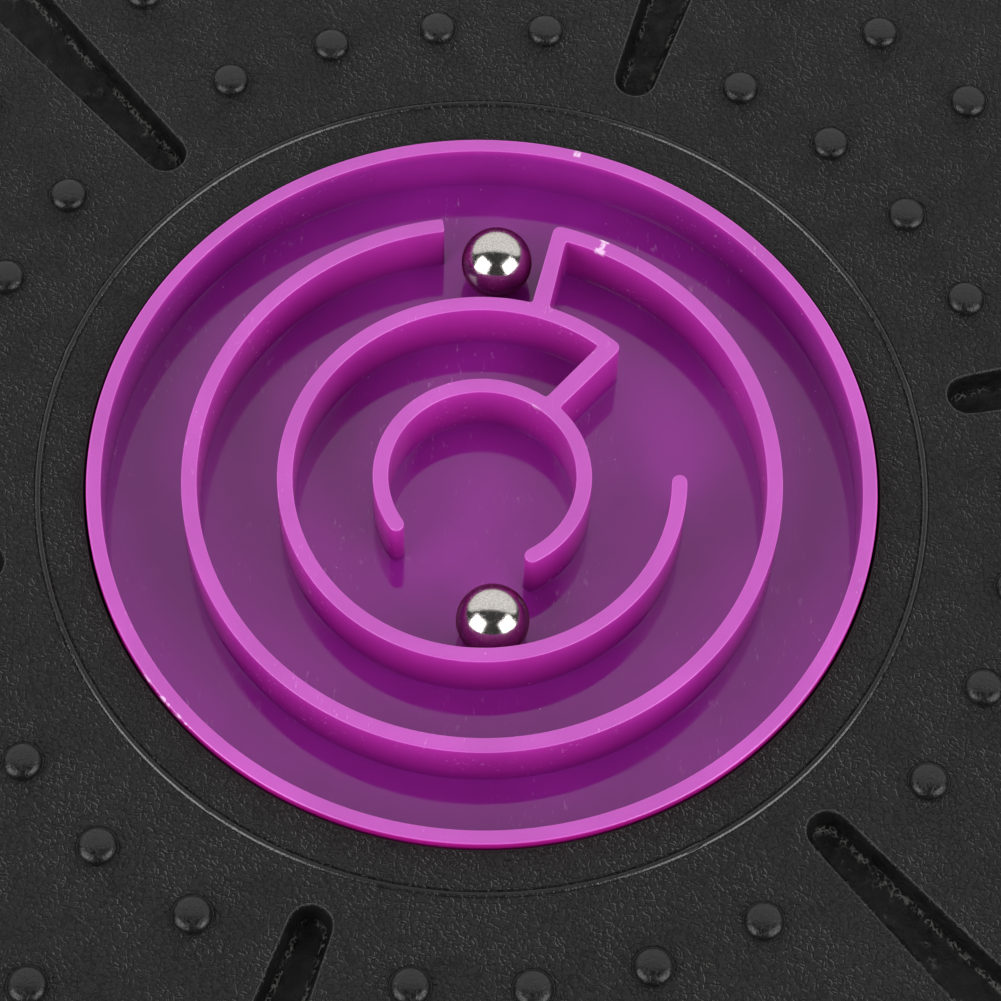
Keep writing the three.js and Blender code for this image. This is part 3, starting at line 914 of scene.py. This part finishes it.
def slot_outline(azimuth, margin=0.0):
    """A groove's plan: straight sides that open outwards and round ends, counter-clockwise."""
    along = polar(1, azimuth)
    r_in = SLOT_INNER_R + SLOT_HALF_INNER
    r_out = SLOT_OUTER_R - SLOT_HALF_OUTER
    taper = math.degrees(math.asin((SLOT_HALF_OUTER - SLOT_HALF_INNER) / (r_out - r_in)))
    side0, side1 = azimuth - 90 - taper, azimuth + 90 + taper
    points = arc_points(along * r_out, SLOT_HALF_OUTER + margin, side0, side1)
    points += arc_points(along * r_in, SLOT_HALF_INNER + margin, side1, azimuth + 270 - taper)
    return soften(np.array([tuple(p) for p in points]), 0.8 * MM, 1)


def nub_places():
    """Centres of all nubs: one more in each sector for each ring outwards."""
    places = []
    for ring, r in enumerate(NUB_RING_R):
        count = 4 + ring
        half_span = 30 - math.degrees(math.asin(NUB_TO_GROOVE / r))
        for sector in range(SECTORS):
            for i in range(count):
                share = 2 * i / (count - 1) - 1
                places.append(polar(r, NUB_AZIMUTH + 60 * sector + half_span * share))
    return places


def add_nub(body, centre):
    """One grip nub in a shallow moat. Returns its outer loop."""
    count = 28
    profile = [(3.48, 0.0), (3.36, -0.1), (3.22, -0.1), (3.15, 0.05), (3.12, 0.3), (3.02, 0.58)]
    profile += [(2.82, 0.87), (2.5, 1.13), (2.05, 1.33), (1.45, 1.46), (0.75, 1.53)]
    shift = np.array(centre)
    rings = [body.loop(circle(r * MM, count) + shift, DECK_TOP + h * MM) for r, h in profile]
    body.bridge(rings[0], rings[1], NUB_BLACK)
    body.stack(rings[1:], NUB_BLACK)
    body.fan(rings[-1], DECK_TOP + NUB_H, NUB_BLACK)
    return rings[0]


def groove_floor_height(points):
    """The torn bottom of a groove: dragged ridges and lumps."""
    heights = []
    for x, y in points:
        drag = noise.fractal(Vector((x * 240, y * 240, 0.7)), 0.7, 2.2, 4)
        lump = noise.noise(Vector((x * 900, y * 900, 5.3)))
        heights.append(DECK_TOP - SLOT_DEPTH + (0.35 * drag + 0.12 * lump) * MM)
    return np.array(heights)


def add_groove(body, azimuth):
    """One groove: a crisp lip, sides that lean in and a torn bottom. Returns its loop in the top face."""
    outline = slot_outline(azimuth)
    normal = outward(outline)
    steps = [(0.3, 0.0), (0.12, 0.05), (0.0, -0.12), (-0.1, -0.5)]
    steps += [(-0.45, -2.2), (-0.95, -3.9), (-1.6, -4.7)]
    rings = [body.loop(outline + normal * o * MM, DECK_TOP + h * MM) for o, h in steps]
    # the lip rings carry the painted highlight
    for k, (high, low) in enumerate(zip(rings[:3], rings[1:4])):
        body.bridge(low[::-1], high[::-1], BLACK if k == 2 else LIP_PAINTED_HIGHLIGHT)
    for high, low in zip(rings[3:], rings[4:]):
        body.bridge(low[::-1], high[::-1], TORN)
    body.fill([rings[-1]], TORN, spacing=0.7 * MM, height=groove_floor_height)
    return rings[0]


def add_witness_line(body):
    """The thin raised line round the recess, a shut-off line of the mould.

    It is a low matt band with glossy rounded shoulders and a narrow groove along its inner side. Its
    outer shoulder is ragged here and there, and it is broken at one place.
    """
    count = 1600
    angles = np.arange(count) * TAU / count
    rng = random.Random(11)
    flash = [noise.noise(Vector((40 * math.cos(a), 40 * math.sin(a), 1.7))) for a in angles]
    flash = np.array(flash)
    ragged = np.zeros(count)
    for _ in range(9):
        at = rng.uniform(0, TAU)
        width = rng.uniform(0.004, 0.02)
        away = (angles - at + math.pi) % TAU - math.pi
        ragged += rng.uniform(0.4, 1.0) * np.exp(-(away / width) ** 2)
    broken = 1 - np.exp(-(((angles - math.radians(WITNESS_BREAK)) / 0.018) ** 4))
    plan = circle(1, count)
    steps = [  # offset from the line's radius, height, and how much it wobbles and tears
        (-0.76, 0.0, 0, 0),
        (-0.64, -0.2, 0, 0),
        (-0.54, -0.2, 0, 0),
        (-0.46, -0.12, 0, 0),
        (-0.38, -0.03, 0, 0),
        (-0.29, 0.06, 0, 0),
        (-0.21, 0.12, 0, 0),
        (-0.12, 0.14, 0, 0),
        (0.20, 0.16, 0.01, 0.1),
        (0.27, 0.14, 0.01, 0.3),
        (0.38, 0.06, 0.01, 0.5),
        (0.48, -0.03, 0, 0.5),
        (0.58, -0.12, 0, 0.4),
        (0.68, 0.0, 0, 0.3),
    ]
    rings = []
    for shift, up, wobble, tear in steps:
        r = WITNESS_R + (shift + 0.3 * tear * ragged + 0.05 * wobble * flash) * MM
        lift = up + wobble * flash + 0.1 * tear * ragged * (up > 0)
        z = DECK_TOP + lift * (broken if up > 0 else 1) * MM
        rings.append(body.loop(plan * r[:, None], z))
    for k, (low, high) in enumerate(zip(rings, rings[1:])):
        body.bridge(high, low, BAND if k in (6, 7) else FLASH if 2 <= k <= 11 else BLACK)
    return rings[0], rings[-1]


def make_deck():
    """The deck moulding. Its ribs, bosses and seat ring run a little way into the skin above them."""
    body = Body()
    # top face: from the recess out to the rounded edge, with the grooves and nubs let into it
    witness_in, witness_out = add_witness_line(body)
    lip = body.loop(circle(RECESS_R + 0.35 * MM, RING_POINTS), DECK_TOP)
    top_edge = body.loop(circle(DECK_R - EDGE_ROUND, RING_POINTS), DECK_TOP)
    grooves = [add_groove(body, SLOT_AZIMUTH + 60 * k) for k in range(SECTORS)]
    nubs = [add_nub(body, place) for place in nub_places()]
    body.fill([witness_in, lip], BLACK)
    body.fill([top_edge, witness_out, *grooves, *nubs], BLACK)
    # recess for the tray
    wall = [(RECESS_R + 0.1 * MM, DECK_TOP - 0.1 * MM), (RECESS_R, DECK_TOP - 0.35 * MM)]
    wall += [(RECESS_R, CUP_FLOOR + 0.6 * MM), (RECESS_R - 0.6 * MM, CUP_FLOOR)]
    rings = [lip] + [body.loop(circle(r, RING_POINTS), z) for r, z in wall]
    for high, low in zip(rings, rings[1:]):
        body.bridge(high, low, UNDER_BLACK)
    body.fan(rings[-1], CUP_FLOOR, UNDER_BLACK)
    # rounded edge, skirt and underside
    edge = arc_profile((DECK_R - EDGE_ROUND, DECK_TOP - EDGE_ROUND), EDGE_ROUND, 90, 0, 10)[1:]
    rings = [top_edge] + [body.loop(circle(r, RING_POINTS), z) for r, z in edge]
    body.drop(rings, BLACK)
    skirt = [(0, 1.5), (-0.44, 0.44), (-1.5, 0), (-3.4, 0), (-3.9, 0.5)]
    skirt = [(DECK_R + r * MM, SKIRT_BOTTOM + z * MM) for r, z in skirt]
    skirt += [(DECK_R - SKIRT_T, DECK_UNDER - 1.5 * MM), (DECK_R - SKIRT_T - 1.5 * MM, DECK_UNDER)]
    rings = [rings[-1]] + [body.loop(circle(r, RING_POINTS), z) for r, z in skirt]
    body.drop(rings[:2], BLACK)
    body.drop(rings[1:], UNDER_BLACK)
    cup = [(CUP_R, DECK_UNDER), (CUP_R, CUP_BOTTOM + 1 * MM), (CUP_R - 1 * MM, CUP_BOTTOM)]
    cup_rings = [body.loop(circle(r, RING_POINTS // 2), z) for r, z in cup]
    body.drop(cup_rings, UNDER_BLACK)
    body.fan(cup_rings[-1][::-1], CUP_BOTTOM, UNDER_BLACK)
    channels = []
    bottom = DECK_TOP - SLOT_DEPTH - CHANNEL_WALL
    for k in range(SECTORS):
        outline = slot_outline(SLOT_AZIMUTH + 60 * k, CHANNEL_WALL)
        high = body.loop(outline, DECK_UNDER)
        middle = body.loop(outline, bottom + 0.8 * MM)
        low = body.loop(outline - outward(outline) * 0.8 * MM, bottom)
        body.stack([low, middle, high], UNDER_BLACK)
        body.fill([low], UNDER_BLACK, up=False)
        channels.append(high)
    body.fill([rings[-1], cup_rings[0], *channels], UNDER_BLACK, up=False)
    # ribs, the ring that the dome seats on, and the screw bosses
    for k in range(SECTORS):
        a = SLOT_AZIMUTH + 60 * k
        start, end = polar(CUP_R - 1 * MM, a), polar(DECK_R - SKIRT_T / 2, a)
        bar(body, start, end, RIB_T / 2, RIB_BOTTOM, bottom + RUN_IN, UNDER_BLACK)
        a = DOME_SCREW_A + 60 * k
        start, end = polar(CUP_R - 1 * MM, a), polar(DOME_SCREW_R - 2 * MM, a)
        bar(body, start, end, RIB_T / 2, RIB_BOTTOM, DECK_UNDER + RUN_IN, UNDER_BLACK)
        ends = (SKIRT_BOTTOM, DECK_UNDER + RUN_IN)
        tube(body, polar(DOME_SCREW_R, a), BOSS_R, BOSS_HOLE_R, *ends, BOSS_HOLE_DEPTH, UNDER_BLACK)
    around = np.arange(RING_POINTS) * 360 / RING_POINTS
    off_groove = np.abs((around - SLOT_AZIMUTH + 30) % 60 - 30)
    seat_top = np.where(off_groove < 4, bottom, DECK_UNDER) + RUN_IN
    seat = [(SEAT_R, SKIRT_BOTTOM), (SEAT_R, seat_top), (SEAT_R - SEAT_T, seat_top)]
    seat += [(SEAT_R - SEAT_T, SKIRT_BOTTOM)]
    ring = [body.loop(circle(r, RING_POINTS), z) for r, z in seat]
    body.stack([*ring, ring[0]], UNDER_BLACK)
    deck = body.object("deck_moulding")
    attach(deck, "board")
    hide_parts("deck")


# ---------- dome, pad ----------


def sphere_height(r, thickness):
    """Height of the dome's outer or inner skin at a radius."""
    rise = FLANGE_BOTTOM - DOME_LOW
    ball = (DOME_R**2 + rise**2) / (2 * rise)
    return DOME_LOW + ball - math.sqrt((ball - thickness) ** 2 - r * r)


def make_dome():
    """The hollow dome: a round skin with a flange at its top and a flat seat for the pad."""
    body = Body()
    pad_seat = PAD_H + 0.3 * MM
    inner_floor = pad_seat + DOME_T
    skin = [(r, sphere_height(r, 0)) for r in np.linspace(DOME_PAD_RIM, DOME_R - 0.8 * MM, 22)]
    inner_r = np.linspace(DOME_INNER_R, 30 * MM, 20)
    inner_skin = [(r, sphere_height(r, DOME_T)) for r in inner_r if sphere_height(r, DOME_T) > inner_floor]
    flange_r = dome_high.x
    profile = [
        (0, pad_seat),
        (PAD_R + 0.3 * MM, pad_seat),
        (PAD_R + 0.3 * MM, sphere_height(DOME_PAD_RIM, 0) + 0.4 * MM),
        (PAD_R + 0.7 * MM, sphere_height(DOME_PAD_RIM, 0)),
        *skin,
        (DOME_R + 0.6 * MM, FLANGE_BOTTOM),
        (flange_r - 0.8 * MM, FLANGE_BOTTOM),
        (flange_r - 0.2 * MM, FLANGE_BOTTOM + 0.3 * MM),
        (flange_r, FLANGE_BOTTOM + 0.8 * MM),
        (flange_r, dome_high.z - 0.5 * MM),
        (flange_r - 0.5 * MM, dome_high.z),
        (DOME_INNER_R, dome_high.z),
        *inner_skin,
        (0, inner_floor),
    ]
    lathe(body, profile, RING_POINTS // 2, BLACK)
    dome = body.object("dome_moulding")
    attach(dome, "board")
    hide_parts("base_dome")


def make_pad():
    """The grip pad: a soft disc with concentric tread grooves."""
    body = Body()
    profile = [(0, 0)]
    for r in np.arange(5, 29, 4):
        profile += [(r, 0), (r + 0.3, 0.7), (r + 1.1, 0.7), (r + 1.4, 0)]
    profile = [(r * MM, z * MM) for r, z in profile]
    profile += [(PAD_R - 0.8 * MM, 0), (PAD_R - 0.2 * MM, 0.25 * MM), (PAD_R, 0.8 * MM)]
    profile += [(PAD_R, PAD_H - 0.3 * MM), (PAD_R - 0.3 * MM, PAD_H), (0, PAD_H)]
    lathe(body, profile, 240, RUBBER)
    pad = body.object("grip_pad")
    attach(pad, "board")
    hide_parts("foot_pad")


# ---------- screws ----------


def make_screw(node):
    """A pan-head self-tapping screw with a cross recess and a rolled thread, standing for a CAD screw."""
    low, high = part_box(node)
    centre = (low + high) / 2
    head_r = (high.x - low.x) / 2
    head_h = 0.6 * head_r if head_r > 3 * MM else 0.7 * head_r
    body = Body()
    count = 48
    a = np.arange(count) * TAU / count
    # cross recess: the middle rings dip along two crossed lines
    cross = np.clip((np.abs(np.cos(2 * a)) - 0.80) / 0.14, 0, 1)
    shift = np.array(centre.xy)
    middle_dip = 0.62
    rings = [body.loop(circle(0.08 * head_r, count) + shift, low.z + head_h * middle_dip)]
    for share, lift, dip in (  # of the head's radius and height
        (0.2, 0.0, 0.60),
        (0.32, 0.0, 0.56),
        (0.44, 0.0, 0.50),
        (0.54, 0.01, 0.10),
        (0.6, 0.02, 0.0),
        (0.72, 0.07, 0.0),
        (0.84, 0.19, 0.0),
        (0.94, 0.36, 0.0),
        (1.0, 0.62, 0.0),
    ):
        z = low.z + head_h * (lift + dip * cross)
        rings.append(body.loop(circle(share * head_r, count) + shift, z))
    rings.append(body.loop(circle(head_r, count) + shift, low.z + head_h))
    shank = 0.4 * head_r
    pitch = 0.35 * head_r
    for z in np.arange(low.z + head_h, high.z - 1.4 * shank, pitch / 8):
        phase = ((z - low.z) / pitch - a / TAU) % 1.0
        r = shank * (0.78 + 0.22 * np.clip(1 - np.abs(phase - 0.5) * 4, 0, 1))
        rings.append(body.loop(np.column_stack([r * np.cos(a), r * np.sin(a)]) + shift, z))
    for share, z in ((0.5, high.z - 0.7 * shank), (0.15, high.z - 0.2 * shank)):
        rings.append(body.loop(circle(share * shank, count) + shift, z))
    body.fan(rings[0][::-1], low.z + head_h * middle_dip, ZINC)
    body.stack(rings, ZINC)
    body.fan(rings[-1], high.z - 0.1 * shank, ZINC)
    screw = body.object(node + "_turned")
    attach(screw, "board")
    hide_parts(node)


# ---------- balls ----------


def make_ball(node, carrier, name):
    """A steel ball on its own body, standing for a CAD ball."""
    low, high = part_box(node)
    centre = (low + high) / 2
    radius = (high.z - low.z) / 2
    body = Body()
    turn = np.linspace(0, math.pi, 65)
    profile = [(radius * math.sin(t), centre.z - radius * math.cos(t)) for t in turn]
    lathe(body, profile, 96, STEEL, centre.xy)
    ball = body.object(name, sharp=80)
    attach(ball, carrier)
    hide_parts(node)


make_tray()
make_deck()
make_dome()
make_pad()
for screw_node in sorted(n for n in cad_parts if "screw" in n):
    make_screw(screw_node)
make_ball("ball_outer", "outer_ball", "steel_ball_outer")
make_ball("ball_inner", "inner_ball", "steel_ball_inner")
